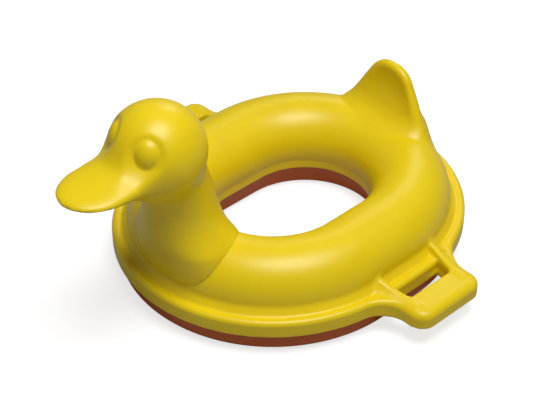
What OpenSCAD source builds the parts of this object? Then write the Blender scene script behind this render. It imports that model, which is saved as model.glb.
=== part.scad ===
// Duck-shaped floating chlorine dispenser: a sealed yellow float ring with a head and a tail,
// standing on an orange tablet tray that has an adjustable slotted floor.
// Millimetres, +Z up, head towards -Y, resting plane at Z = 0.

/* [Ring] */
// Half of the overall width across the rim band
rim_r = 90; // [88:1:95]
// Length of the straight stretch between the two half-round ends of the ring
straight = 26; // [20:1:32]
// Distance of the ring tube's crest line from the ring's spine
crest_r = 58.9; // [58:0.1:60]
// Radius of the ring tube
tube_r = 22.4; // [22:0.1:23]
// Height of the ring tube's widest level
tube_z = 26.5; // [26:0.5:27]
// Wall thickness of the yellow mouldings
wall = 2.5; // [2.2:0.1:2.6]
// Lower edge of the rim band
band_bottom = 12.4; // [12:0.2:13]
// Upper edge of the rim band
band_top = 22.5; // [22:0.5:23]

/* [Head and tail] */
// Reach of the bill's tip in front of the ring's centre
bill_reach = 152; // [148:1:158]
// Height of the crown of the head
crown_z = 134.5; // [132:0.5:138]
// Width of the head
head_w = 53; // [50:1:56]
// Height of the tail's tip
tail_z = 84; // [80:0.5:88]
// Half of the tail's width at the ring
tail_half_w = 32; // [30:1:34]

/* [Loops] */
// Reach of each loop's bar from the centre plane
loop_reach = 117; // [114:1:120]
// Middle of the loops along the ring
loop_mid = 7.75; // [5:0.25:9]
// Length of each loop along the ring
loop_len = 47.5; // [43:0.5:50]
// Length of the slot in each loop
slot_len = 33; // [28:1:34]
// Width of the slot in each loop
slot_w = 10; // [8:0.5:11]

/* [Dosing] */
// Number of slot places round the tray floor; two at the knob stay closed
slot_places = 16; // [14:1:18]
// Width of each dosing slot
dose_w = 7.5; // [6:0.5:8]
// Angle that closes the slots
dose_turn = 11.25; // [10:0.25:11.25]

/* [Hidden] */
$fn = 96;
eps = 0.01;

yellow = [0.91, 0.78, 0.08];
orange = [0.80, 0.33, 0.07];
steel = [0.72, 0.73, 0.75];
rubber = [0.10, 0.10, 0.11];
natural = [0.86, 0.87, 0.86];

// the box of the whole object is centred on the frame's origin
ring_half_l = rim_r + straight / 2;
ring_y = (bill_reach - ring_half_l) / 2;
front_y = -(straight / 2 + crest_r);
back_y = straight / 2 + crest_r;

// yellow shell; the tube's circle is cut off tube_cut below its widest level
tube_cut = 8.5;
hole_low_r = 37.6;
hole_low_z = 14.2;
seat_in = 39.9;
seat_out = 78.9;
seat_top = 30;
skirt_in = rim_r - 2.6;
skirt_top = 19.6;
boss_r = 3.8;
boss_angles = [-155, -120, -60, -25, 20, 62, 118, 160];

// head's eyes and the spigot that plugs it into the ring
eye_r = 6.8;
neck_bore = 12.2;
neck_wall = 2.4;
neck_low = 34;
neck_screw_rho = 7;
vent_r = 2;
clearance = 0.2;

// bulkhead and its cord seals
web_z = 26;
web_t = 2.5;
rim_low = 24.5;
rim_high = 29.5;
edge_in = 40.3;
edge_out = 78.5;
cord_r = 1.1;
cord_z = 27;
plug_at = [-crest_r, 0];
ballast_holes = [78, 102];
ballast_arc = 44;

// orange tray
tray_r = rim_r - 3;
tray_top = 19;
foot_z = 1.6;
pocket_z = 4.1;
floor_z = 6.6;
pocket_in = 58.5;
pocket_out = 81;
play = 0.08;
detent_x = 51;
grate_screw_places = [[-50.5, 0], [0, 88.5], [0, -88.5]];

// dosing ring and knob, centred on the frame's upright axis
ring_in = pocket_in + play;
ring_out = 80.4;
ring_z = 4.3;
ring_t = 1.8;
slot_in = 61;
slot_out = 78;
knob_rho = 70;
knob_half = 6;
knob_at = 90 - dose_turn / 2;
track_half = 2;
stem_half = 2.1;

// screws
screw_r = 1.45;
screw_head_r = 3;
screw_head_h = 1.8;
screw_play = 0.1;

// ---- shared shapes ----

// puts a shape that is drawn about the ring's centre into the frame
module placed() {
  translate([0, ring_y, 0]) children();
}

// carries a (distance from the spine, height) outline once round the ring
module swept() {
  for (end = [0, 180]) {
    rotate(end) translate([0, straight / 2, 0]) rotate_extrude(angle = 180) children();
    rotate(end) translate([0, straight / 2, 0]) rotate([90, 0, 0]) linear_extrude(straight) children();
  }
}

module both_sides() {
  children();
  mirror([1, 0, 0]) children();
}

// flat outline of all points nearer than r to the spine
module stadium(r) {
  for (s = [-1, 1]) translate([0, s * straight / 2]) circle(r);
  square([2 * r, straight], center = true);
}

// a point on the ring's crest line, at an angle about the nearer half-round end
function crest_point(angle, r) =
  [r * cos(angle), r * sin(angle) + (sin(angle) < 0 ? -1 : 1) * straight / 2];

module rounded_box_2d(low, high, r) {
  for (x = [low[0] + r, high[0] - r], y = [low[1] + r, high[1] - r]) translate([x, y]) circle(r);
  translate([low[0] + r, low[1]]) square([high[0] - low[0] - 2 * r, high[1] - low[1]]);
  translate([low[0], low[1] + r]) square([high[0] - low[0], high[1] - low[1] - 2 * r]);
}

// a screw whose head is below its seat and whose shank points up
module screw(seat, length) {
  translate([0, 0, seat]) cylinder(r = screw_r, h = length);
  difference() {
    translate([0, 0, seat - screw_head_h]) cylinder(r = screw_head_r, h = screw_head_h);
    for (a = [0, 90]) rotate(a) translate([0, 0, seat - screw_head_h])
      cube([3.6, 0.8, 2.2], center = true);
  }
}

// a Catmull-Rom value through column c of a table, at a place counted in rows
function blend_at(table, u, c) =
  let (n = len(table), i = min(floor(u), n - 2), t = u - i,
       a = table[max(i - 1, 0)][c], b = table[i][c],
       d = table[i + 1][c], e = table[min(i + 2, n - 1)][c])
  b + 0.5 * t * (d - a + t * (2 * a - 5 * b + 4 * d - e + t * (3 * (b - d) + e - a)));

// closed skin over a stack of rings of points
module loft(rings) {
  n = len(rings[0]);
  last = (len(rings) - 1) * n;
  polyhedron(
    points = [for (ring = rings) each ring],
    faces = concat(
      [[for (i = [0 : n - 1]) i]],
      [for (k = [0 : len(rings) - 2], i = [0 : n - 1])
        let (j = (i + 1) % n, a = k * n)
        each [[a + i, a + n + i, a + j], [a + j, a + n + i, a + n + j]]],
      [[for (i = [n - 1 : -1 : 0]) last + i]]),
    convexity = 8);
}

// ---- float ring ----

module tube_outline(r) {
  intersection() {
    translate([crest_r, tube_z]) circle(r);
    translate([0, tube_z - tube_cut]) square([rim_r, 2 * tube_r]);
  }
}

module band_outline() {
  top_r = 4;
  low_r = 1.2;
  inner = crest_r + tube_r - 4;
  translate([inner, band_bottom]) square([rim_r - low_r - inner, band_top - band_bottom - top_r]);
  translate([inner, band_top - top_r - eps]) square([rim_r - top_r - inner - 1.5, top_r - 1.5]);
  translate([rim_r - top_r, band_top - top_r]) circle(top_r);
  translate([rim_r - low_r, band_bottom + low_r]) circle(low_r);
  translate([rim_r - 2 * low_r, band_bottom + low_r])
    square([2 * low_r, band_top - top_r - band_bottom - low_r]);
}

module shell_outline() {
  tube_outline(tube_r);
  polygon([
    [hole_low_r, hole_low_z], [seat_in + 1, hole_low_z], [seat_in + 1, 20], [seat_out - 1, 20],
    [crest_r + tube_r + 1.2, 19.5], [crest_r + tube_r - 0.4, 29], [hole_low_r - 0.6, 30]
  ]);
  band_outline();
}

module shell_cavity_outline() {
  intersection() {
    translate([crest_r, tube_z]) circle(tube_r - wall);
    translate([0, seat_top - 1]) square([rim_r, tube_r]);
  }
  translate([seat_in, 0]) square([seat_out - seat_in, seat_top]);
  translate([seat_out - 1, 0]) square([skirt_in - seat_out + 1, skirt_top]);
}

// front view of the tail: a rounded leaf with flared feet, given as half width at each height
function tail_edge() =
  let (w = tail_half_w, t = tail_z)
  [[w, 28], [w, 46], [w - 6.5, 55], [w - 11, 62.5], [w - 14, t - 14], [w - 17, t - 8],
   [w - 21, t - 3.2], [w - 26, t - 0.7], [0, t]];

module tail_front(inset) {
  edge = tail_edge();
  near = [for (p = edge) [max(p[0] - inset, 0), p[1] - (p[1] > tail_z - 10 ? inset : 0)]];
  polygon(concat(near, [for (i = [len(near) - 2 : -1 : 0]) [-near[i][0], near[i][1]]]));
}

// side view of the tail, a thin leaf that leans back and runs down the ring's outer wall:
// [height, front face, back face], both counted from the crest line at the back
tail_levels = [
  [30, -12, 22.3], [47.5, -8, 18.8], [53, -3.5, 17.2], [62, 0.5, 15], [72, 3.5, 12.6],
  [tail_z - 4, 5.2, 11], [tail_z - 1, 6.4, 9.8], [tail_z, 7.4, 8.6]
];

module tail_side(inset) {
  levels = [for (p = tail_levels) if (inset == 0 || p[2] - p[1] > 2 * inset + 0.5) p];
  polygon([
    for (p = levels) [back_y + p[1] + inset, p[0]],
    for (i = [len(levels) - 1 : -1 : 0]) [back_y + levels[i][2] - inset, levels[i][0]]
  ]);
}

module tail_body(inset) {
  intersection() {
    translate([0, 2 * back_y, 0]) rotate([90, 0, 0]) linear_extrude(2 * back_y) tail_front(inset);
    rotate([90, 0, 90]) translate([0, 0, -2 * tail_half_w]) linear_extrude(4 * tail_half_w)
      tail_side(inset);
    translate([0, back_y - 9, 0]) cylinder(r = tail_half_w - 1 - inset, h = 2 * tail_z);
  }
}

// one lift loop on the +X side
module loop_body() {
  low = loop_mid - loop_len / 2;
  intersection() {
    linear_extrude(40) difference() {
      rounded_box_2d([crest_r + tube_r - 3.5, low], [loop_reach, low + loop_len], 8);
      rounded_box_2d([rim_r, loop_mid - slot_len / 2], [rim_r + slot_w, loop_mid + slot_len / 2], 2);
    }
    translate([0, low + loop_len + 1, 0]) rotate([90, 0, 0]) linear_extrude(loop_len + 2) polygon([
      [70, 13], [loop_reach - 4, 13], [loop_reach - 1, 15], [loop_reach, 17.5],
      [loop_reach - 1, 20.5], [loop_reach - 4, 22], [loop_reach - 14, 22.4],
      [rim_r, 24], [crest_r + tube_r, 26.4], [70, 28]
    ]);
  }
}

module at_bosses() {
  for (a = boss_angles) translate(crest_point(a, crest_r)) children();
}

module ring_shell() color(yellow) placed() {
  difference() {
    union() {
      difference() {
        union() {
          swept() shell_outline();
          both_sides() loop_body();
          tail_body(0);
        }
        swept() shell_cavity_outline();
        tail_body(wall);
      }
      intersection() {
        union() {
          at_bosses() translate([0, 0, web_z + web_t + 0.05]) cylinder(r = boss_r, h = 20);
          translate([0, front_y, neck_low]) cylinder(r = neck_bore + neck_wall, h = 20);
        }
        swept() tube_outline(tube_r - wall / 2);
      }
    }
    at_bosses() cylinder(r = screw_r + screw_play, h = 40);
    translate([0, front_y, 0]) cylinder(r = neck_bore, h = 60);
  }
}

// ---- head ----

// head and neck, bottom to top: [height, middle in Y, half width, half depth]
function head_sections() =
  let (h = crown_z, w = head_w / 2) [
    [27, -73, 31.5, 22.5], [38, -73, 31, 21.7], [48, -75, 27.5, 23.5], [57, -77.5, 22.4, 22],
    [67, -79, 19.7, 20], [76, -81, 19, 19.5], [85, -84.5, 20, 21], [93, -88.5, 22.3, 23],
    [100, -91.7, w - 1.6, 25.4], [h - 26.5, -93, w, 27], [h - 18, -93, w - 1.5, 25.6],
    [h - 10, -93, w - 6, 21], [h - 4, -93, w - 12.5, 14.5], [h - 1, -93, w - 19, 7.8],
    [h, -93, 1, 1]
  ];

// bill, root to tip: [Y, middle height, half width, half height]
function bill_sections() =
  let (y = -bill_reach) [
    [y + 60, 103, 20, 16], [y + 48, 103, 19, 15], [y + 38, 104.5, 17.5, 11.5],
    [y + 30, 105.5, 16.5, 8], [y + 22, 106.3, 16.5, 5.5], [y + 14, 106.8, 16.5, 4.2],
    [y + 7, 107.2, 14, 3.3], [y + 2, 107.6, 9, 2.4], [y, 107.8, 3, 1.2]
  ];

function level_rings(table, inset, low, steps, n) =
  [for (k = [0 : steps])
    let (u = low + (len(table) - 1 - low) * k / steps, r = max(blend_at(table, u, 2) - inset, 1),
         d = max(blend_at(table, u, 3) - inset, 1))
    [for (i = [0 : n - 1]) let (a = 360 * i / n)
      [r * cos(a), blend_at(table, u, 1) + d * sin(a), blend_at(table, u, 0) - inset * k / steps]]];

function bill_rings(inset, steps, n) =
  let (table = bill_sections())
  [for (k = [0 : steps])
    let (u = (len(table) - 1) * k / steps, w = max(blend_at(table, u, 2) - inset, 0.6),
         h = max(blend_at(table, u, 3) - inset, 0.4))
    [for (i = [0 : n - 1]) let (a = 360 * i / n)
      [w * cos(a), blend_at(table, u, 0) + inset, blend_at(table, u, 1) + h * sin(a)]]];

module head_skin() {
  loft(level_rings(head_sections(), 0, 0, 30, 40));
  loft(bill_rings(0, 16, 28));
  both_sides() translate([11.8, -108.5, crown_z - 17.5]) sphere(eye_r, $fn = 24);
}

// the ring's surface, grown a little, which the foot of the neck sits on
module ring_top(gap) {
  swept() tube_outline(tube_r + gap);
  translate([0, 0, tube_z - 10]) linear_extrude(10.1) stadium(crest_r + tube_r + gap);
}

module head_shell() color(yellow) placed() {
  resize([0, 0, 0]) difference() {
    union() {
      difference() {
        head_skin();
        difference() {
          loft(level_rings(head_sections(), wall, 0, 24, 32));
          ring_top(wall + clearance);
        }
        ring_top(clearance);
      }
      translate([0, front_y, neck_low]) cylinder(r = neck_bore - clearance, h = 17);
    }
    translate([0, front_y, neck_low + 7]) cylinder(r = neck_bore - clearance - wall, h = 30);
    translate([0, front_y, 0]) cylinder(r = vent_r, h = 60);
    neck_screw_places() cylinder(r = screw_r + screw_play, h = neck_low + 5.5);
  }
}

module neck_screw_places() {
  for (a = [30, 150, 270])
    translate([neck_screw_rho * cos(a), front_y + neck_screw_rho * sin(a), 0]) children();
}

module neck_gasket() color(rubber) placed() {
  translate([0, front_y, neck_low - 1]) difference() {
    cylinder(r = 15.5, h = 0.95);
    translate([0, 0, -1]) cylinder(r = neck_bore + 0.2, h = 3);
  }
}

module neck_clamp() color(natural) placed() {
  difference() {
    translate([0, front_y, neck_low - 3.3]) cylinder(r = 16, h = 2.25);
    translate([0, front_y, 0]) cylinder(r = vent_r, h = 60);
    neck_screw_places() cylinder(r = screw_r + 0.25, h = 50);
  }
}

module neck_screws() color(steel) placed() {
  neck_screw_places() screw(neck_low - 3.35, 8);
}

// ---- bulkhead that closes the air chamber ----

module bulkhead_outline() {
  difference() {
    union() {
      translate([edge_in, web_z]) square([edge_out - edge_in, web_t]);
      translate([edge_in, rim_low]) square([4, rim_high - rim_low]);
      translate([edge_out - 4, rim_low]) square([4, rim_high - rim_low]);
    }
    translate([edge_in - 1, cord_z - cord_r]) square([1 + 2 * cord_r - 0.2, 2 * cord_r]);
    translate([edge_out - 2 * cord_r + 0.2, cord_z - cord_r]) square([1 + 2 * cord_r, 2 * cord_r]);
  }
}

module bulkhead() color(natural) placed() {
  difference() {
    swept() bulkhead_outline();
    at_bosses() cylinder(r = screw_r + 0.25, h = 50);
    translate(plug_at) cylinder(r = 4, h = 50);
    for (a = ballast_holes) translate(crest_point(a, crest_r)) cylinder(r = screw_r + 0.25, h = 50);
  }
}

module outer_seal() color(rubber) placed() {
  swept() translate([edge_out - cord_r + 0.25, cord_z]) circle(cord_r - 0.02);
}

module inner_seal() color(rubber) placed() {
  swept() translate([edge_in + cord_r - 0.25, cord_z]) circle(cord_r - 0.02);
}

module bulkhead_screws() color(steel) placed() {
  at_bosses() screw(web_z - 0.02, 12);
}

module chamber_plug() color(rubber) placed() {
  translate(plug_at) {
    translate([0, 0, web_z - 1.5]) cylinder(r = 6.5, h = 1.45);
    translate([0, 0, web_z - 1]) cylinder(r = 3.95, h = 5.5);
    translate([0, 0, web_z + web_t + 0.05]) cylinder(r1 = 5, r2 = 3, h = 3);
  }
}

module ballast_weight() color([0.35, 0.35, 0.36]) placed() {
  difference() {
    translate([0, straight / 2, 0]) rotate(90 - ballast_arc / 2) rotate_extrude(angle = ballast_arc)
      rounded_box_2d([crest_r - 9, web_z + web_t + 0.1], [crest_r + 9, 36], 1.5);
    for (a = ballast_holes) translate(crest_point(a, crest_r)) cylinder(r = screw_r + 0.08, h = 34);
  }
}

module ballast_screws() color(steel) placed() {
  for (a = ballast_holes) translate(crest_point(a, crest_r)) screw(web_z - 0.02, 7);
}

// ---- orange tablet tray ----

// solid outline of the tray, before its channel is cut
module tray_outline() {
  low_r = 6;
  foot_in = 45.5;
  difference() {
    union() {
      polygon([
        [foot_in, 0], [tray_r - low_r, 0], [tray_r - low_r, low_r], [tray_r, low_r],
        [tray_r, tray_top], [40.25, tray_top], [40.25, hole_low_z - 0.2], [38.3, hole_low_z - 0.2],
        [41.5, 4], [foot_in, 4]
      ]);
      translate([tray_r - low_r, low_r]) circle(low_r);
      translate([foot_in, 4]) circle(4);
    }
    polygon([
      [44, floor_z], [42.3, 14], [42.3, tray_top + 1], [tray_r - 2.5, tray_top + 1],
      [tray_r - 2.5, floor_z]
    ]);
    translate([foot_in + 2.5, -1]) square([tray_r - low_r - 2.5 - foot_in - 2.5, foot_z + 1]);
  }
}

module slot_fan(from, to, width, low, high) {
  for (k = [0 : slot_places - 1])
    let (a = (k + 0.5) * 360 / slot_places)
    if (abs(a - 90) > 360 / slot_places)
      rotate(a) translate([from, -width / 2, low]) cube([to - from, width, high - low]);
}

// part of a flat ring between two angles about the upright axis
module arc_block(r1, r2, a1, a2, low, high) {
  rotate(a1) rotate_extrude(angle = a2 - a1) translate([r1, low]) square([r2 - r1, high - low]);
}

module dose_pocket() {
  translate([0, 0, pocket_z]) difference() {
    cylinder(r = pocket_out, h = floor_z);
    translate([0, 0, -1]) cylinder(r = pocket_in, h = floor_z + 2);
  }
}

module tablet_tray() color(orange) placed() {
  difference() {
    swept() tray_outline();
    intersection() {
      dose_pocket();
      cylinder(r = pocket_out, h = floor_z + eps);
    }
    slot_fan(slot_in, slot_out, dose_w, -1, pocket_z + 1);
    arc_block(knob_rho - track_half - 0.3, knob_rho + track_half + 0.3,
      knob_at - 2.2, knob_at + dose_turn + 2.2, -1, pocket_z + 1);
    arc_block(knob_rho - knob_half - 0.5, knob_rho + knob_half + 0.5,
      knob_at - 5.6, knob_at + dose_turn + 5.6, -1, foot_z + 1);
    translate([detent_x, 0, pocket_z]) linear_extrude(floor_z)
      rounded_box_2d([-4.5, -9], [pocket_in - detent_x + 2, 9], 1.5);
    translate([detent_x, 0, foot_z + 0.6]) cylinder(r = screw_r + screw_play, h = 10);
    for (p = grate_screw_places) translate([p[0], p[1], foot_z + 0.6])
      cylinder(r = screw_r + screw_play, h = 10);
  }
}

module tablet_grate() color(natural) placed() {
  low = floor_z + 0.1;
  thick = 2;
  bar = 4;
  difference() {
    translate([0, 0, low]) linear_extrude(thick) difference() {
      stadium(tray_r - 2.5 - 0.6);
      stadium(44.6);
    }
    for (end = [0, 180], a = [18 : 24 : 162])
      rotate(end) translate([0, straight / 2, low - 1]) rotate(a) translate([49, -bar, 0])
        cube([30, 2 * bar, thick + 2]);
    for (s = [-1, 1]) translate([s * 64 - 15 + s * 1.5, -bar, low - 1])
      cube([30, 2 * bar, thick + 2]);
    for (p = grate_screw_places) translate([p[0], p[1], 0]) cylinder(r = screw_r + 0.25, h = 20);
  }
}

module grate_screws() color(steel) placed() {
  for (p = grate_screw_places) translate([p[0], p[1], 2 * (floor_z + 2.12)])
    mirror([0, 0, 1]) screw(floor_z + 2.12, 6);
}

module detent_spring() color(steel) placed() {
  difference() {
    union() {
      translate([detent_x - 3.5, -6, pocket_z + 0.02]) cube([6.5, 12, 0.4]);
      translate([detent_x + 3, -6, pocket_z + 0.02]) cube([0.4, 12, 2.2]);
      translate([detent_x + 3.4, 0, pocket_z + 0.02]) intersection() {
        cylinder(r = 3.2, h = 2.2);
        translate([0, -4, 0]) cube([4, 8, 3]);
      }
    }
    translate([detent_x, 0, 0]) cylinder(r = screw_r + 0.25, h = 20);
  }
}

module detent_screw() color(steel) placed() {
  translate([detent_x, 0, 2 * (pocket_z + 0.45)]) mirror([0, 0, 1])
    screw(pocket_z + 0.45, 1.8);
}

// ---- dosing ring ----

module dosing_ring() color(natural) placed() {
  difference() {
    union() {
      translate([0, 0, ring_z]) cylinder(r = ring_out, h = ring_t);
      arc_block(knob_rho - stem_half + 0.1, knob_rho + stem_half - 0.1, knob_at - 2, knob_at + 2,
        foot_z + 1.1, ring_z + 1);
    }
    cylinder(r = ring_in, h = 20);
    slot_fan(slot_in, slot_out, dose_w, ring_z - 1, ring_z + ring_t + 1);
    rotate(knob_at) translate([knob_rho, 0, -1]) cylinder(r = 1.1, h = 6);
    for (a = [0, -dose_turn]) rotate(a) translate([ring_in - 0.4, 0, ring_z - 1])
      cylinder(r = 1.6, h = 5);
  }
}

module dosing_knob() color(orange) placed() {
  difference() {
    union() {
      arc_block(knob_rho - knob_half, knob_rho + knob_half, knob_at - 5, knob_at + 5,
        foot_z - 0.2, foot_z + 0.85);
      for (a = [-3.8, 3.8])
        arc_block(knob_rho - knob_half + 0.8, knob_rho + knob_half - 0.8,
          knob_at + a - 0.6, knob_at + a + 0.6, 0.5, foot_z);
    }
    rotate(knob_at) translate([knob_rho, 0, -1]) cylinder(r = 1.2, h = 6);
    rotate(knob_at) translate([knob_rho, 0, -1]) cylinder(r = 2.4, h = foot_z + 0.8);
  }
}

module knob_screw() color(steel) placed() {
  rotate(knob_at) translate([knob_rho, 0, 0]) {
    translate([0, 0, 0.6]) cylinder(r = 2.2, h = foot_z - 0.9);
    translate([0, 0, foot_z - 0.4]) cylinder(r = 1.05, h = 3);
  }
}

ring_shell();
head_shell();
neck_gasket();
neck_clamp();
neck_screws();
bulkhead();
outer_seal();
inner_seal();
bulkhead_screws();
chamber_plug();
ballast_weight();
ballast_screws();
tablet_tray();
tablet_grate();
grate_screws();
detent_spring();
detent_screw();
dosing_ring();
dosing_knob();
knob_screw();
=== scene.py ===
"""Looks for the ring-shaped floating dispenser with a duck's head and tail.

The yellow skins are sculpted as distance fields in millimetres, about the ring's own centre,
and meshed by dual contouring. Every other piece is the frame's own, with a better material.
"""

import math
from functools import reduce

import bpy
import numpy as np
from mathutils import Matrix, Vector


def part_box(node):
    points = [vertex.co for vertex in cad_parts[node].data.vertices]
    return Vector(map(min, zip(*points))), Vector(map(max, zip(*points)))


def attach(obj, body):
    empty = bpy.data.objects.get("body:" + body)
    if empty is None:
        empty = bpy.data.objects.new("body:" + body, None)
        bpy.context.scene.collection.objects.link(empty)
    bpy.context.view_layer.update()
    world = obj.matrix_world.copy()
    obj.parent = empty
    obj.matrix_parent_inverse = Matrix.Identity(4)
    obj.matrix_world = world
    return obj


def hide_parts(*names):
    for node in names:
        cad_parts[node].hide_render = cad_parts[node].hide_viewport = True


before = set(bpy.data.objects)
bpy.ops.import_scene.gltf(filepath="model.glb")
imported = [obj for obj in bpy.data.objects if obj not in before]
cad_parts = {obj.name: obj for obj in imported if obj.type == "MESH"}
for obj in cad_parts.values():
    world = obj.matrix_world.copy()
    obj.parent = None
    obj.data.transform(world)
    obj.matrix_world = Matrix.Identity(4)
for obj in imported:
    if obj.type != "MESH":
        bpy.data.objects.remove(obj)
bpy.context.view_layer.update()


# ---- sizes in millimetres, worked out from the frame ----

MM = 1000.0


def node_box(node):
    low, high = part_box(node)
    return np.array(low) * MM, np.array(high) * MM


tray_low, tray_high = node_box("tablet_tray")
shell_low, shell_high = node_box("ring_shell")
head_low, head_high = node_box("head_shell")
bulkhead_low, bulkhead_high = node_box("bulkhead")
clamp_top = node_box("neck_clamp")[1][2]

# ring: its radii are counted from its spine, a short line along Y through the middle of the hole
ring_y = (tray_low[1] + tray_high[1]) / 2
half_straight = (tray_high[1] - tray_low[1]) / 2 - tray_high[0]
rim_r = tray_high[0] + 3
crest_r = rim_r - 31.1
hole_r = rim_r - 52.4
tube_r = 22.4
tube_z = 26.5
back_y = half_straight + crest_r
front_y = -back_y
skin_wall = 2.5

# band round the rim, and the lift loops at its sides, whose low, high and slot middle are in Y
band_low = shell_low[2]
band_high = band_low + 10.1
band_foot_r = 1.2
loop_reach = shell_high[0]
loop_low, loop_high = -16, 32
slot_middle, slot_half, slot_wide = 7.75, 15.75, 9.7

# tail and head
tail_z = shell_high[2]
tail_rim_half = 3.3
crown_z = head_high[2]
bill_y = head_low[1] - ring_y
neck_top = 104

# what the skins hold inside
bulkhead_inner_r = 40.3
bulkhead_web_top = bulkhead_low[2] + 4
boss_angles = (-155, -120, -60, -25, 20, 62, 118, 160)
boss_r = 3.8
pilot_r = 1.55
neck_bore_r = 12.2
neck_screw_angles = (30, 150, 270)
neck_screw_circle_r = 7


# ---- materials ----

def set_inputs(node, values):
    for name, value in values.items():
        node.inputs[name].default_value = value


def new_material(name):
    material = bpy.data.materials.new(name)
    material.use_nodes = True
    return material, material.node_tree.nodes["Principled BSDF"]


def noise(tree, scale, detail=3.0, rough=0.5):
    """A noise value at a scale in features per metre, fixed to the object."""
    place = tree.nodes.new("ShaderNodeTexCoord")
    node = tree.nodes.new("ShaderNodeTexNoise")
    set_inputs(node, {"Scale": scale, "Detail": detail, "Roughness": rough})
    tree.links.new(place.outputs["Object"], node.inputs["Vector"])
    return node.outputs["Fac"]


def remap(tree, value, low, high):
    """A noise value's usual span, 0.3 to 0.7, spread over low to high."""
    node = tree.nodes.new("ShaderNodeMapRange")
    set_inputs(node, {"From Min": 0.3, "From Max": 0.7, "To Min": low, "To Max": high})
    tree.links.new(value, node.inputs["Value"])
    return node.outputs["Result"]


def mix_colours(tree, factor, first, second):
    node = tree.nodes.new("ShaderNodeMix")
    node.data_type = "RGBA"
    set_inputs(node, {"A": (*first, 1), "B": (*second, 1)})
    tree.links.new(factor, node.inputs["Factor"])
    return node.outputs["Result"]


def bump(tree, height, shader, strength, depth_mm):
    node = tree.nodes.new("ShaderNodeBump")
    set_inputs(node, {"Strength": strength, "Distance": depth_mm / MM})
    tree.links.new(height, node.inputs["Height"])
    tree.links.new(node.outputs["Normal"], shader.inputs["Normal"])


def moulded_plastic(name, colour, deep_colour, roughness, glow):
    """Waxy moulded plastic: faint flow clouds in the colour, mottled gloss and a fine grain."""
    material, shader = new_material(name)
    tree = material.node_tree
    clouds = remap(tree, noise(tree, 45, 4, 0.55), 0, 1)
    gloss = remap(tree, noise(tree, 520, 3, 0.6), roughness - 0.04, roughness + 0.06)
    tree.links.new(mix_colours(tree, clouds, colour, deep_colour), shader.inputs["Base Color"])
    tree.links.new(gloss, shader.inputs["Roughness"])
    bump(tree, noise(tree, 1900, 2, 0.6), shader, strength=0.25, depth_mm=0.06)
    set_inputs(shader, {"Specular IOR Level": 0.42, "Subsurface Weight": glow,
                        "Subsurface Radius": (1.0, 0.55, 0.12), "Subsurface Scale": 0.004})
    return material


def rubber_material():
    """Black rubber with a little dust on it."""
    material, shader = new_material("seal_rubber")
    tree = material.node_tree
    dust = noise(tree, 260, 4, 0.6)
    colour = mix_colours(tree, remap(tree, dust, 0, 1), (0.018, 0.018, 0.02), (0.045, 0.045, 0.05))
    tree.links.new(colour, shader.inputs["Base Color"])
    tree.links.new(remap(tree, dust, 0.55, 0.8), shader.inputs["Roughness"])
    bump(tree, noise(tree, 1400), shader, strength=0.3, depth_mm=0.05)
    return material


def steel_material():
    """Stainless steel with fine level brush lines."""
    material, shader = new_material("stainless_steel")
    tree = material.node_tree
    place = tree.nodes.new("ShaderNodeTexCoord")
    stretch = tree.nodes.new("ShaderNodeMapping")
    set_inputs(stretch, {"Scale": (300, 300, 6000)})
    brushing = tree.nodes.new("ShaderNodeTexNoise")
    set_inputs(brushing, {"Scale": 1.0})
    tree.links.new(place.outputs["Object"], stretch.inputs["Vector"])
    tree.links.new(stretch.outputs["Vector"], brushing.inputs["Vector"])
    lines = brushing.outputs["Fac"]
    colour = mix_colours(tree, lines, (0.50, 0.50, 0.51), (0.68, 0.68, 0.69))
    tree.links.new(colour, shader.inputs["Base Color"])
    tree.links.new(remap(tree, lines, 0.22, 0.42), shader.inputs["Roughness"])
    bump(tree, lines, shader, strength=0.2, depth_mm=0.03)
    set_inputs(shader, {"Metallic": 1.0})
    return material


def iron_material():
    """Rough cast iron."""
    material, shader = new_material("ballast_iron")
    tree = material.node_tree
    casting = noise(tree, 600, 6, 0.7)
    colour = mix_colours(tree, casting, (0.05, 0.05, 0.055), (0.16, 0.16, 0.17))
    tree.links.new(colour, shader.inputs["Base Color"])
    tree.links.new(remap(tree, casting, 0.5, 0.75), shader.inputs["Roughness"])
    bump(tree, casting, shader, strength=0.6, depth_mm=0.25)
    set_inputs(shader, {"Metallic": 0.6})
    return material


def floor_material():
    """Matt paper that the camera sees as white, though it throws back less light than white would."""
    material, shader = new_material("floor_paper")
    set_inputs(shader, {"Base Color": (0.42, 0.42, 0.42, 1), "Roughness": 0.9,
                        "Emission Color": (1, 1, 1, 1)})
    nodes, links = material.node_tree.nodes, material.node_tree.links
    seen = nodes.new("ShaderNodeLightPath")
    brightness = nodes.new("ShaderNodeMath")
    brightness.operation = "MULTIPLY"
    brightness.inputs[1].default_value = 0.72
    links.new(seen.outputs["Is Camera Ray"], brightness.inputs[0])
    links.new(brightness.outputs["Value"], shader.inputs["Emission Strength"])
    return material


# ---- camera, floor and light, in metres ----

def facing(direction):
    return direction.to_track_quat("-Z", "Y")


def place_camera():
    azimuth, elevation, distance = math.radians(46.67), math.radians(38.3), 0.8937
    target = Vector((-0.0071, ring_y / MM - 0.00467, 0.02))
    back = Vector((math.sin(azimuth) * math.cos(elevation), -math.cos(azimuth) * math.cos(elevation),
                   math.sin(elevation)))
    data = bpy.data.cameras.new("camera")
    data.lens = 103.3
    data.sensor_width = 36
    camera = bpy.data.objects.new("camera", data)
    camera.location = target + back * distance
    camera.rotation_mode = "QUATERNION"
    camera.rotation_quaternion = facing(-back)
    bpy.context.collection.objects.link(camera)
    bpy.context.scene.camera = camera


def place_floor():
    reach = 6.0
    mesh = bpy.data.meshes.new("floor")
    corners = [(-reach, -reach, 0), (reach, -reach, 0), (reach, reach, 0), (-reach, reach, 0)]
    mesh.from_pydata(corners, [], [(0, 1, 2, 3)])
    mesh.materials.append(floor_material())
    floor = bpy.data.objects.new("floor", mesh)
    bpy.context.collection.objects.link(floor)


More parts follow.
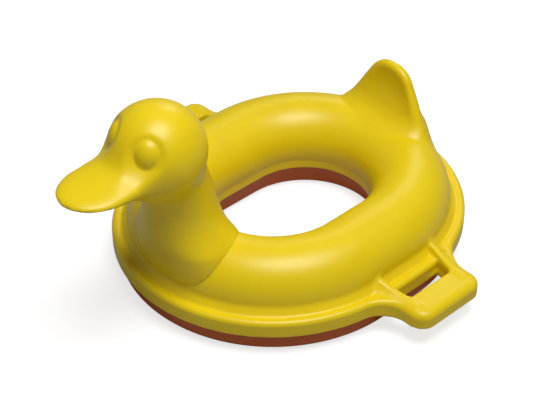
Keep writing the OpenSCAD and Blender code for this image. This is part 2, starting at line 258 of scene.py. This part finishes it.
def area_light(name, place, size, power):
    """A round lamp aimed at the middle of the object."""
    middle = Vector((0, 0, 0.04))
    data = bpy.data.lights.new(name, "AREA")
    data.shape = "DISK"
    data.size = size
    data.energy = power
    lamp = bpy.data.objects.new(name, data)
    lamp.location = place
    lamp.rotation_mode = "QUATERNION"
    lamp.rotation_quaternion = facing(middle - Vector(place))
    bpy.context.collection.objects.link(lamp)


def place_lights():
    world = bpy.data.worlds.new("studio")
    bpy.context.scene.world = world
    world.use_nodes = True
    set_inputs(world.node_tree.nodes["Background"], {"Color": (1, 1, 1, 1), "Strength": 0.17})
    area_light("overhead", (0.30, -0.05, 1.15), size=0.70, power=11.4)
    area_light("back", (-0.7, 1.1, 0.8), size=0.6, power=2.2)
    bpy.context.scene.view_settings.view_transform = "Standard"


# ---- distance fields: negative inside, in millimetres ----

def either(*shapes):
    """What is inside any of the shapes."""
    return reduce(np.minimum, shapes)


def all_of(*shapes):
    """What is inside every one of the shapes."""
    return reduce(np.maximum, shapes)


def without(a, b):
    return np.maximum(a, -b)


def smooth_union(a, b, k):
    """What is inside either, blended where the two distances differ by less than k."""
    h = np.clip(0.5 + 0.5 * (b - a) / k, 0, 1)
    return b + (a - b) * h - k * h * (1 - h)


def smooth_both(a, b, k):
    return -smooth_union(-a, -b, k)


def round_both(a, b, r):
    """What is inside both, with its edge rounded to radius r."""
    return np.minimum(np.maximum(a, b) + r, 0) + np.hypot(np.maximum(a + r, 0), np.maximum(b + r, 0)) - r


def round_union(a, b, r):
    """What is inside either, with a fillet of radius r between them."""
    return np.maximum(np.minimum(a, b), r) - np.hypot(np.maximum(r - a, 0), np.maximum(r - b, 0))


def round_box(u, v, low, high, r):
    """A rectangle from low to high with its corners rounded to radius r."""
    du = np.abs(u - (low[0] + high[0]) / 2) - (high[0] - low[0]) / 2 + r
    dv = np.abs(v - (low[1] + high[1]) / 2) - (high[1] - low[1]) / 2 + r
    return np.hypot(np.maximum(du, 0), np.maximum(dv, 0)) + np.minimum(np.maximum(du, dv), 0) - r


def ellipsoid(p, centre, radii):
    """An ellipsoid's distance, close to true near its surface."""
    q = (p - centre) / radii
    length = np.linalg.norm(q, axis=1)
    slope = np.linalg.norm(q / radii, axis=1)
    return length * (length - 1) / np.maximum(slope, 1e-9)


def ellipse(u, v, wide, deep):
    """The same for an ellipse, whose half width and half depth may change along the way."""
    q = np.hypot(u / wide, v / deep)
    slope = np.hypot(u / wide ** 2, v / deep ** 2)
    return q * (q - 1) / np.maximum(slope, 1e-9)


def upright(p, x, y, r):
    """An endless upright cylinder."""
    return np.hypot(p[:, 0] - x, p[:, 1] - y) - r


def ramp(value, low, high):
    """0 up to low, 1 from high, and smooth between them."""
    t = np.clip((value - low) / (high - low), 0, 1)
    return t * t * (3 - 2 * t)


def curve(table, at, column):
    """A smooth curve through one column of a table, whose first column rises."""
    table = np.asarray(table, float)
    x, y = table[:, 0], table[:, column]
    step = np.diff(x)
    chord = np.diff(y) / step
    slope = np.concatenate([[chord[0]], (chord[:-1] * step[1:] + chord[1:] * step[:-1])
                            / (step[:-1] + step[1:]), [chord[-1]]])
    at = np.clip(at, x[0], x[-1])
    i = np.clip(np.searchsorted(x, at, "right") - 1, 0, len(x) - 2)
    t = (at - x[i]) / step[i]
    a, b, m, n = y[i], y[i + 1], slope[i] * step[i], slope[i + 1] * step[i]
    return a + t * (m + t * (3 * (b - a) - 2 * m - n + t * (2 * (a - b) + m + n)))


# ---- float ring ----

def spine_distance(p):
    return np.hypot(p[:, 0], np.maximum(np.abs(p[:, 1]) - half_straight, 0))


def tube(p, grow=0.0):
    return np.hypot(spine_distance(p) - crest_r, p[:, 2] - tube_z) - tube_r - grow


def flank(p):
    """The tube, whose outer side runs on down and slightly outwards to the band."""
    rho, z = spine_distance(p), p[:, 2]
    spread = 0.75
    side = (rho - crest_r - tube_r + 0.3 - spread * (tube_z - z)) / math.hypot(1, spread)
    return smooth_union(tube(p), all_of(side, z - tube_z, crest_r - rho), 1.0)


def band(past_rim, z):
    """The band round the rim, with a round top edge that leaves a groove beside the tube."""
    edge_r = 2.7
    edge = np.hypot(past_rim + edge_r, z - band_high + edge_r) - edge_r
    face = round_box(past_rim, z, (-edge_r * 2, band_low - 6), (0, band_high - edge_r), 0.2)
    return round_both(either(edge, face), band_low - z, band_foot_r)


def ring_body(p):
    """The float ring with its band, closed underneath."""
    rho, z = spine_distance(p), p[:, 2]
    arch = np.maximum(flank(p), tube_z - 8.5 - z)
    foot = round_box(rho, z, (hole_r, band_low + 1.8), (crest_r + tube_r, tube_z + 2), 0.5)
    return smooth_union(either(arch, foot), band(rho - rim_r, z), 2.0)


def loop_frame(x, z, plan):
    """The flat frame of a loop, whose top sinks as it runs in under the body."""
    inner_x, outer_x = rim_r - 9, rim_r + 2
    edge_r = 2.7 + 1.5 * ramp(x, outer_x, rim_r + 14)
    sink = 4 * (1 - ramp(x, inner_x, outer_x)) * ramp(-plan, 3, 6)
    plate = round_both(round_both(plan, z - band_high + sink, edge_r), band_low - z, band_foot_r)
    return np.maximum(plate, inner_x - x)


def loop_arms(x, z, plan, past_slot):
    """The two arms of a loop, which climb from its bar onto the body like wedges."""
    bar_x, body_x = loop_reach - 14, 82
    arm_width, crest_width, arm_rise = 18, 3.6, 5.0
    climb = np.clip((bar_x - x) / (bar_x - body_x), 0, 1.15)
    fall = 0.9 * np.maximum(past_slot - crest_width, 0) ** 1.1
    ridge = band_high - 0.2 + arm_rise * climb ** 1.2 - fall
    arm = round_both(-past_slot, (z - ridge) * 0.8, 1.6)
    arm = round_both(np.maximum(arm, past_slot - arm_width), plan + 1.2, 4)
    return all_of(arm, band_low + 1 - z, x - loop_reach + 9, 68 - x)


def lift_loops(p):
    """Both loops, as their flat frames and as their arms, with the slot cut through each."""
    x, y, z = np.abs(p[:, 0]), p[:, 1], p[:, 2]
    corner_r, root_r, notch_deep = 8.5, 14, 6
    outline = round_box(x, y, (60, loop_low), (loop_reach, loop_high), corner_r)
    plan = round_union(outline, spine_distance(p) - rim_r, root_r)
    # the slot's ends lean apart on their way in to the ring
    splay = 0.16 * np.clip(rim_r + 9.4 - x, 0, 30)
    past_slot = np.abs(y - slot_middle) - slot_half - splay
    over = round_both(past_slot, x - rim_r - slot_wide, 2)
    slot = np.maximum(over, rim_r - x)
    notch = np.maximum(over, band_high - notch_deep - z)
    shapes = (loop_frame(x, z, plan), loop_arms(x, z, plan, past_slot))
    return [round_both(round_both(shape, -slot, 1.4), -notch, 1.2) for shape in shapes]


# side view of the tail: [height, front face, rim, back face], each from the crest line at the back
tail_levels = [
    [30, -14, 2.8, 21.6], [44, -11.5, 4.3, 19.8], [47.5, -8.5, 4.8, 18.6], [49, -5.8, 5.0, 18.1],
    [51.5, -2.2, 5.4, 17.2], [55, 0.9, 6, 16], [60, 3.6, 6.8, 14.6], [66, 5.7, 7.6, 13.3],
    [72, 6.9, 8.3, 12.4], [tail_z - 6, 7.6, 9, 12], [tail_z - 2, 7.9, 9.3, 11.8],
    [tail_z + 6, 8.2, 9.6, 11.8]]


def tail(p):
    """A scooped leaf with a round rim, leaning back and flared at its foot."""
    x, y, z = p[:, 0], p[:, 1] - back_y, p[:, 2]
    tip_z, tip_tall, squareness = tail_z - 2.2, 20, 2.2
    flare = 0.18 * np.maximum(72 - z, 0) ** 1.35
    half_width = 17.6 + flare
    rise = np.maximum(z - tip_z + tip_tall, 0) / tip_tall
    part = ((np.abs(x) / half_width) ** squareness + rise ** squareness) ** (1 / squareness)
    # curl is 0 along the middle, where the leaf is scooped, and 1 at its rim
    curl = np.minimum(part, 1.15) ** (2.6 + 3 * ramp(-z, -60, -47))
    front, rim, back = (curve(tail_levels, z, column) for column in (1, 2, 3))
    half = tail_rim_half + (1 - curl) * ((back - front) / 2 - tail_rim_half)
    middle = rim + (1 - curl) * ((back + front) / 2 - rim)
    leaf = round_both((part - 1) * 17, np.abs(y - middle) - half, tail_rim_half - 0.3)
    foot_plan = np.hypot(x, y + 9) - 34
    return round_both(leaf, foot_plan, 3)


def ring_outside(p):
    frames, arms = lift_loops(p)
    skin = smooth_union(either(ring_body(p), frames), arms, 2.6)
    fillet_r = 0.7 + 6.5 * ramp(p[:, 1] - back_y + 0.2 * np.abs(p[:, 0]), -2, 12)
    return round_union(skin, tail(p), fillet_r)


def crest_point(angle):
    a = math.radians(angle)
    return crest_r * math.cos(a), crest_r * math.sin(a) + math.copysign(half_straight, math.sin(a))


def posts(p, r):
    """A cylinder of radius r at each bulkhead screw."""
    return either(*[upright(p, *crest_point(angle), r) for angle in boss_angles])


def ring_skin(p):
    """The ring's moulding: hollow and open below, with screw bosses and the neck's collar inside."""
    rho, z = spine_distance(p), p[:, 2]
    gap, below, pilot_top = 0.4, -20, 40
    seat_in = bulkhead_inner_r - gap
    seat_top = bulkhead_high[2] + 0.5
    arch = np.maximum(tube(p, -skin_wall), seat_top - 1 - z)
    seat = round_box(rho, z, (seat_in, below), (bulkhead_high[0] + gap, seat_top), 0.3)
    skirt = round_box(rho, z, (seat_in, below), (tray_high[0] + gap, tray_high[2] + 0.6), 0.3)
    tail_core = ellipsoid(p, (0, back_y + 9, 44), (16, 5, 16))
    cavity = either(arch, seat, skirt, tail_core)
    collar = np.maximum(upright(p, 0, front_y, neck_bore_r + 2.4), clamp_top + 0.95 - z)
    inner = all_of(either(posts(p, boss_r), collar), bulkhead_web_top + 0.05 - z, tube(p, -skin_wall / 2))
    skin = either(without(ring_outside(p), cavity), inner)
    pilots = np.maximum(posts(p, pilot_r), z - pilot_top)
    return without(skin, either(pilots, upright(p, 0, front_y, neck_bore_r)))


# ---- head ----

# neck, bottom to top: [height, front, back, half width]
neck_levels = [
    [20, -93, -58, 31], [27, -94.3, -57, 31.3], [34, -95.4, -55, 31.4], [40, -96.4, -52.5, 31.2],
    [44, -97, -51.8, 30.6], [48, -97.8, -53.8, 29.4], [52, -98.6, -55.7, 27],
    [57, -99.3, -57.1, 24], [62, -99.6, -58.2, 21.6], [67, -99.6, -59.5, 20.1],
    [76, -100.2, -61.2, 19], [85, -103, -63.5, 18.8], [93, -106, -66, 18.6],
    [neck_top, -108, -72, 17]]

# bill, tip to root: [Y, middle height, half width, half height]
bill_levels = [
    [bill_y, 104.8, 1.5, 0.8], [bill_y + 1, 104.7, 5.2, 1.5], [bill_y + 3, 104.6, 9.0, 2.3],
    [bill_y + 6, 104.4, 12.4, 3], [bill_y + 11, 104.2, 15.6, 3.7], [bill_y + 17, 104, 17.7, 4.6],
    [bill_y + 24, 103.7, 18.2, 6.1], [bill_y + 31, 103.7, 18.4, 8.5], [bill_y + 38, 103.3, 18, 11.3],
    [bill_y + 48, 103, 17, 13.6], [bill_y + 60, 103, 14, 13.6]]


def neck(p):
    """The neck's column: round above, squarer where it stands on the ring."""
    z = p[:, 2]
    front, back, wide = (curve(neck_levels, z, column) for column in (1, 2, 3))
    deep = (back - front) / 2
    u, v = np.abs(p[:, 0]) / wide, np.abs(p[:, 1] - (front + back) / 2) / deep
    power = 2.5 - 0.5 * ramp(z, 42, 62)
    q = np.maximum((u ** power + v ** power) ** (1 / power), 0.05)
    slope = q ** (1 - power) * np.hypot(u ** (power - 1) / wide, v ** (power - 1) / deep)
    column = (q - 1) / np.maximum(slope, 0.02)
    past_hole_wall = crest_r - tube_r + 1.5 - spine_distance(p)
    return smooth_both(np.maximum(column, z - neck_top), past_hole_wall, 3)


def bill(p):
    """A broad flat bill that thickens towards the head."""
    y = p[:, 1]
    middle, wide, tall = (curve(bill_levels, y, column) for column in (1, 2, 3))
    blade = ellipse(p[:, 0], p[:, 2] - middle, wide, tall)
    return all_of(blade * 0.8, bill_y - y, y - bill_levels[-1][0])


def head_outside(p):
    """Ball, neck and bill, with an eye that swells out of a hollow at each side."""
    middle = np.array([0, -93, crown_z - 26.5])
    skin = smooth_union(ellipsoid(p, middle, (25.8, 26.4, 25.9)), neck(p), 5)
    skin = smooth_union(skin, bill(p), 6)
    mirrored = np.column_stack([np.abs(p[:, 0]), p[:, 1], p[:, 2]])
    look = np.array([0.549, -0.688, 0.477])
    socket = ellipsoid(mirrored, middle + look * 42.6, (20.3, 20.3, 21.5))
    eye = ellipsoid(mirrored, middle + look * 16.8, (8.9, 8.9, 10.6))
    return smooth_union(smooth_both(skin, -socket, 2.4), eye, 0.9)


def head_skin(p):
    """The head's moulding: hollow, with the spigot and screw pilots that hold it in the ring."""
    z = p[:, 2]
    outside = head_outside(p)
    spigot_r, spigot_top, bore_top = neck_bore_r - 0.2, 51, 60
    skin = all_of(outside, 0.2 - flank(p), band_high - 1.9 - z)
    spigot = all_of(upright(p, 0, front_y, spigot_r), clamp_top + 1.05 - z, z - spigot_top)
    room = np.maximum(outside + skin_wall, -tube(p, skin_wall + 0.4))
    bore = all_of(upright(p, 0, front_y, spigot_r - skin_wall), clamp_top + 8 - z, z - bore_top)
    vent = np.maximum(upright(p, 0, front_y, 2), z - bore_top)
    hollow = either(room, bore, vent)
    for angle in neck_screw_angles:
        a = math.radians(angle)
        x, y = neck_screw_circle_r * math.cos(a), front_y + neck_screw_circle_r * math.sin(a)
        pilot = upright(p, x, y, pilot_r)
        hollow = either(hollow, np.maximum(pilot, z - clamp_top - 6.5))
    return without(either(skin, spigot), hollow)


# ---- meshing ----

def in_blocks(field, points, block=400000):
    return np.concatenate([field(points[i:i + block]) for i in range(0, len(points), block)])


def gradient(field, points, step=0.04):
    slopes = []
    for axis in range(3):
        shift = np.zeros(3)
        shift[axis] = step
        slopes.append(in_blocks(field, points + shift) - in_blocks(field, points - shift))
    normals = np.column_stack(slopes)
    return normals / np.maximum(np.linalg.norm(normals, axis=1, keepdims=True), 1e-9)


def edge_crossings(field, lines, inside, values, axis):
    """Where the skin cuts the grid's edges along one axis, with the four cells round each edge."""
    ahead = [slice(None)] * 3
    behind = [slice(None)] * 3
    ahead[axis], behind[axis] = slice(1, None), slice(None, -1)
    start = np.argwhere(inside[tuple(ahead)] != inside[tuple(behind)])
    end = start.copy()
    end[:, axis] += 1
    a = np.column_stack([lines[i][start[:, i]] for i in range(3)])
    b = np.column_stack([lines[i][end[:, i]] for i in range(3)])
    va, vb = values[tuple(start.T)], values[tuple(end.T)]
    outward = va < 0
    for _ in range(3):
        t = (va / (va - vb))[:, None]
        middle = a + (b - a) * t
        v = in_blocks(field, middle)
        same = (v < 0) == (va < 0)
        a, va = np.where(same[:, None], middle, a), np.where(same, v, va)
        b, vb = np.where(same[:, None], b, middle), np.where(same, vb, v)
    cells = []
    for u, w in ((-1, -1), (0, -1), (0, 0), (-1, 0)):
        cell = start.copy()
        cell[:, (axis + 1) % 3] += u
        cell[:, (axis + 2) % 3] += w
        cells.append(cell)
    cells = np.stack(cells, axis=1)
    cells[~outward] = cells[~outward][:, ::-1]
    return middle, cells


def contour(field, lines):
    """Dual contouring: one vertex for each cut cell, at the best meeting of its tangent planes."""
    shape = [len(line) for line in lines]
    grid = np.stack(np.meshgrid(*lines, indexing="ij"), axis=-1).reshape(-1, 3)
    values = in_blocks(field, grid).reshape(shape)
    inside = values < 0
    crossings, cells = zip(*[edge_crossings(field, lines, inside, values, axis) for axis in range(3)])
    points = np.concatenate(crossings)
    cells = np.concatenate(cells)
    normals = gradient(field, points)
    keys = np.ravel_multi_index(cells.reshape(-1, 3).T, shape)
    used, owner = np.unique(keys, return_inverse=True)
    which = np.repeat(np.arange(len(points)), 4)

    def gathered(values_per_edge):
        return np.bincount(owner, weights=values_per_edge[which], minlength=len(used))

    count = gathered(np.ones(len(points)))
    centre = np.column_stack([gathered(points[:, i]) for i in range(3)]) / count[:, None]
    plane = np.einsum("ij,ij->i", normals, points)
    system = np.empty((len(used), 3, 3))
    target = np.empty((len(used), 3))
    for i in range(3):
        for j in range(3):
            system[:, i, j] = gathered(normals[:, i] * normals[:, j])
        target[:, i] = gathered(normals[:, i] * plane)
    target -= np.einsum("nij,nj->ni", system, centre)
    # a light pull to the middle of the crossings keeps flat cells steady
    system += np.eye(3) * 0.06
    vertices = centre + np.linalg.solve(system, target[:, :, None])[:, :, 0]
    place = np.array(np.unravel_index(used, shape)).T
    low = np.column_stack([lines[i][place[:, i]] for i in range(3)])
    high = np.column_stack([lines[i][place[:, i] + 1] for i in range(3)])
    return np.clip(vertices, low, high), owner.reshape(-1, 4)


def grid_lines(low, high, step):
    """Even lines past both ends, shifted by part of a step to stay off faces at round sizes."""
    return np.arange(low - 2 * step + 0.37 * step, high + 2 * step, step)


def sculpted(name, field, lines, material):
    """The skin of a distance field as a mesh object in the frame."""
    points, quads = contour(field, lines)
    points = points + np.array([0, ring_y, 0])
    mesh = bpy.data.meshes.new(name)
    mesh.vertices.add(len(points))
    mesh.vertices.foreach_set("co", (points / MM).ravel())
    mesh.loops.add(quads.size)
    mesh.loops.foreach_set("vertex_index", quads.ravel().astype(np.int32))
    mesh.polygons.add(len(quads))
    mesh.polygons.foreach_set("loop_start", np.arange(0, quads.size, 4, dtype=np.int32))
    mesh.update(calc_edges=True)
    mesh.polygons.foreach_set("use_smooth", np.ones(len(quads), bool))
    mesh.set_sharp_from_angle(angle=math.radians(42))
    mesh.materials.append(material)
    piece = bpy.data.objects.new(name, mesh)
    bpy.context.collection.objects.link(piece)
    return piece


def make_ring_skin(material):
    """The ring's skin, on a grid whose levels lie closer up through the band and the loops."""
    step, fine_step, upper_step = 1.4, 0.8, 1.3
    fine_top, tail_back = 31, 104
    fine = np.arange(band_low - 1.3, fine_top, fine_step)
    z_lines = np.concatenate([fine, np.arange(fine[-1] + upper_step, tail_z + 3, upper_step)])
    lines = [grid_lines(-loop_reach, loop_reach, step),
             grid_lines(-half_straight - rim_r, tail_back, step), z_lines]
    piece = sculpted("ring_skin", ring_skin, lines, material)
    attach(piece, "float")
    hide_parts("ring_shell")


def make_head_skin(material):
    step = 1.0
    half_width, back, foot = 33, -48, 12
    lines = [grid_lines(-half_width, half_width, step), grid_lines(bill_y, back, step),
             grid_lines(foot, crown_z, step)]
    piece = sculpted("head_skin", head_skin, lines, material)
    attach(piece, "float")
    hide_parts("head_shell")


# ---- the frame's own pieces ----

def dress(nodes, material):
    for name in nodes:
        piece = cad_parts[name]
        piece.data.materials.clear()
        piece.data.materials.append(material)
        for slot in piece.material_slots:
            slot.material = material


place_camera()
place_floor()
place_lights()

yellow = moulded_plastic("yellow_plastic", (0.86, 0.64, 0.004), (0.83, 0.60, 0.003), 0.35, 0.05)
orange = moulded_plastic("orange_plastic", (0.60, 0.115, 0.010), (0.54, 0.098, 0.008), 0.42, 0.03)
natural = moulded_plastic("natural_plastic", (0.80, 0.80, 0.76), (0.76, 0.76, 0.70), 0.42, 0.10)

make_ring_skin(yellow)
make_head_skin(yellow)
dress(["tablet_tray", "dosing_knob"], orange)
dress(["bulkhead", "neck_clamp", "tablet_grate", "dosing_ring"], natural)
dress(["neck_gasket", "outer_seal", "inner_seal", "chamber_plug"], rubber_material())
dress(["neck_screws", "bulkhead_screws", "ballast_screws", "grate_screws", "detent_spring",
       "detent_screw", "knob_screw"], steel_material())
dress(["ballast_weight"], iron_material())
